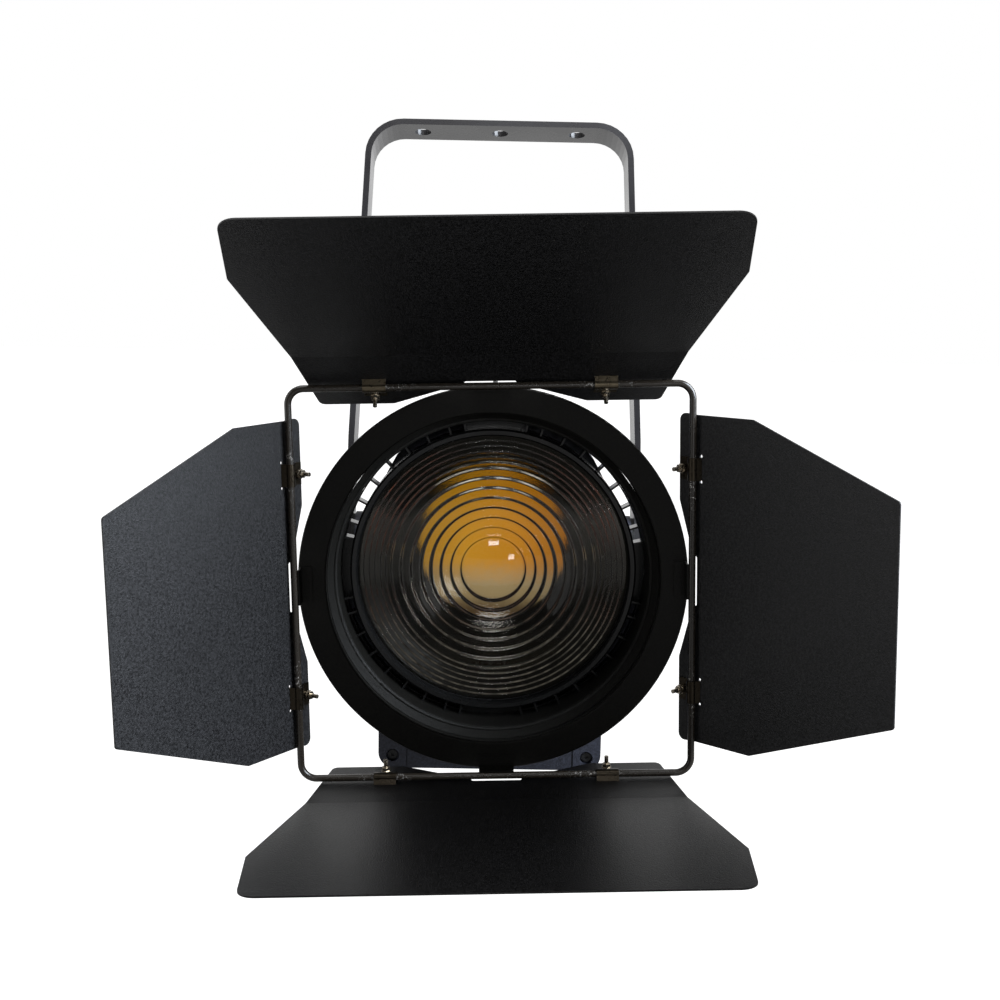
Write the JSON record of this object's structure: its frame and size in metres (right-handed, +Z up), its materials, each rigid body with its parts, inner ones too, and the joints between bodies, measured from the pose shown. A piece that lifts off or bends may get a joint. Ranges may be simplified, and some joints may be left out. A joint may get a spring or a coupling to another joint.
{
  "type": "fresnel spotlight",
  "caption": "Stage fresnel spotlight with a round stepped lens, a square rod barn door with folding leaves, a box housing and a flat bar yoke.",
  "frame": {"origin": "centre of the middle mounting hole in the yoke's crossbar", "axes": "+Z up, the beam leaves along -Y, +X to the right seen from in front of the lens; the head is level and the yoke leans back 15 degrees"},
  "size_m": [0.4929, 0.5605, 0.5158],
  "materials": {
    "gloss_black": "semi-gloss black paint on steel bar",
    "black_powder": "fine-grain matt black powder coat",
    "worn_black": "satin black with worn bright edges",
    "slate_powder": "blue-grey black powder coat",
    "steel": "bright zinc-plated steel",
    "aluminium": "bare aluminium",
    "driver_case": "satin aluminium case",
    "brass": "turned brass",
    "black_plastic": "moulded black plastic",
    "blue_plastic": "moulded blue plastic",
    "rubber": "black rubber",
    "lens_glass": "clear stepped glass",
    "phosphor": "amber phosphor layer",
    "display": "dark glossy window",
    "circuit_board": "green circuit board"
  },
  "bodies": {
    "yoke": {"yoke": "gloss_black"},
    "head": {"side_brackets": "slate_powder", "friction_washers": "rubber", "front_plate": "slate_powder", "housing_shell": "slate_powder", "rear_plate": "slate_powder", "plate_screws": "worn_black", "divider_shelf": "aluminium", "lens_hood": "black_powder", "slot_ring": "black_plastic", "lens_pan": "black_powder", "lens_gasket": "rubber", "fresnel_lens": "lens_glass", "guide_rods": "steel", "driver_unit": "driver_case", "control_board": "circuit_board", "display_window": "display", "power_sockets": "blue_plastic", "signal_sockets": "black_plastic", "fuse_holder": "black_plastic", "fan_frame": "black_plastic", "fan_guard": "steel", "carry_handle": "black_plastic", "safety_eye": "steel", "rubber_feet": "rubber"},
    "fan": {"fan_rotor": "black_plastic"},
    "carriage": {"reflector": "aluminium", "led_emitter": "phosphor", "led_board": "aluminium", "heat_sink": "aluminium", "carriage_plate": "steel", "carriage_bushes": "brass", "lead_nut": "brass"},
    "focus_drive": {"lead_screw": "steel", "focus_knob": "black_plastic"},
    "knob_left": {"tilt_knob_left": "black_plastic"},
    "knob_right": {"tilt_knob_right": "black_plastic"},
    "door": {"door_ring": "black_powder", "ring_sleeve": "black_powder", "rod_frame": "worn_black", "ring_brackets": "black_powder"},
    "screw_1": {"thumbscrew_1": "steel"},
    "screw_2": {"thumbscrew_2": "steel"},
    "screw_3": {"thumbscrew_3": "steel"},
    "press_1": {"button_1": "black_plastic"},
    "press_2": {"button_2": "black_plastic"},
    "press_3": {"button_3": "black_plastic"},
    "press_4": {"button_4": "black_plastic"},
    "top_leaf": {"leaf_top": "black_powder", "clips_top": "worn_black", "clip_fasteners_top": "steel"},
    "right_leaf": {"leaf_right": "black_powder", "clips_right": "worn_black", "clip_fasteners_right": "steel"},
    "bottom_leaf": {"leaf_bottom": "black_powder", "clips_bottom": "worn_black", "clip_fasteners_bottom": "steel"},
    "left_leaf": {"leaf_left": "black_powder", "clips_left": "worn_black", "clip_fasteners_left": "steel"}
  },
  "joints": [
    {"name": "tilt", "type": "hinge", "parent": "yoke", "child": "head", "pos_m": [0, -0.09162, -0.34194], "axis": [1, 0, 0], "range_deg": [-50, 120]},
    {"name": "fan_spin", "type": "hinge", "parent": "head", "child": "fan", "pos_m": [0, 0.01838, -0.32194], "axis": [0, 1, 0], "continuous": true},
    {"name": "carriage_slide", "type": "slide", "parent": "head", "child": "carriage", "axis": [0, 1, 0], "range_m": [0, 0.06]},
    {"name": "focus_turn", "type": "hinge", "parent": "head", "child": "focus_drive", "pos_m": [0, 0.04038, -0.40194], "axis": [0, 1, 0], "range_deg": [0, 1080]},
    {"name": "tilt_lock_left", "type": "hinge", "parent": "head", "child": "knob_left", "pos_m": [-0.125, -0.09162, -0.34194], "axis": [-1, 0, 0], "range_deg": [0, 360]},
    {"name": "tilt_lock_right", "type": "hinge", "parent": "head", "child": "knob_right", "pos_m": [0.125, -0.09162, -0.34194], "axis": [1, 0, 0], "range_deg": [0, 360]},
    {"name": "door_turn", "type": "hinge", "parent": "head", "child": "door", "pos_m": [0, -0.25162, -0.34194], "axis": [0, 1, 0], "continuous": true},
    {"name": "clamp_1", "type": "hinge", "parent": "door", "child": "screw_1", "pos_m": [0.10861, -0.24412, -0.2742], "axis": [0.8485, 0, 0.5292], "range_deg": [0, 720]},
    {"name": "clamp_2", "type": "hinge", "parent": "door", "child": "screw_2", "pos_m": [-0.11296, -0.24412, -0.28175], "axis": [-0.8825, 0, 0.4702], "range_deg": [0, 720]},
    {"name": "clamp_3", "type": "hinge", "parent": "door", "child": "screw_3", "pos_m": [0.00436, -0.24412, -0.46986], "axis": [0.034, 0, -0.9994], "range_deg": [0, 720]},
    {"name": "button_press_1", "type": "slide", "parent": "head", "child": "press_1", "axis": [0, -1, 0], "range_m": [0, 0.0015], "stiffness_N_per_m": 400, "springref_m": -0.001},
    {"name": "button_press_2", "type": "slide", "parent": "head", "child": "press_2", "axis": [0, -1, 0], "range_m": [0, 0.0015], "stiffness_N_per_m": 400, "springref_m": -0.001},
    {"name": "button_press_3", "type": "slide", "parent": "head", "child": "press_3", "axis": [0, -1, 0], "range_m": [0, 0.0015], "stiffness_N_per_m": 400, "springref_m": -0.001},
    {"name": "button_press_4", "type": "slide", "parent": "head", "child": "press_4", "axis": [0, -1, 0], "range_m": [0, 0.0015], "stiffness_N_per_m": 400, "springref_m": -0.001},
    {"name": "top_leaf_hinge", "type": "hinge", "parent": "door", "child": "top_leaf", "pos_m": [-0.00476, -0.28162, -0.20202], "axis": [-0.9994, 0, -0.034], "range_deg": [-72.2, 5.8]},
    {"name": "bottom_leaf_hinge", "type": "hinge", "parent": "door", "child": "bottom_leaf", "pos_m": [0.00476, -0.28162, -0.48186], "axis": [0.9994, 0, 0.034], "range_deg": [-39.5, 38.5]},
    {"name": "left_leaf_hinge", "type": "hinge", "parent": "door", "child": "left_leaf", "pos_m": [-0.13992, -0.28162, -0.3467], "axis": [-0.034, 0, 0.9994], "range_deg": [-8.7, 95.3]},
    {"name": "right_leaf_hinge", "type": "hinge", "parent": "door", "child": "right_leaf", "pos_m": [0.13992, -0.28162, -0.33717], "axis": [0.034, 0, -0.9994], "range_deg": [-1.4, 102.6]}
  ],
  "couplings": [
    {"joint": "focus_turn", "follows": "carriage_slide", "rad_per_m": 314.16}
  ]
}
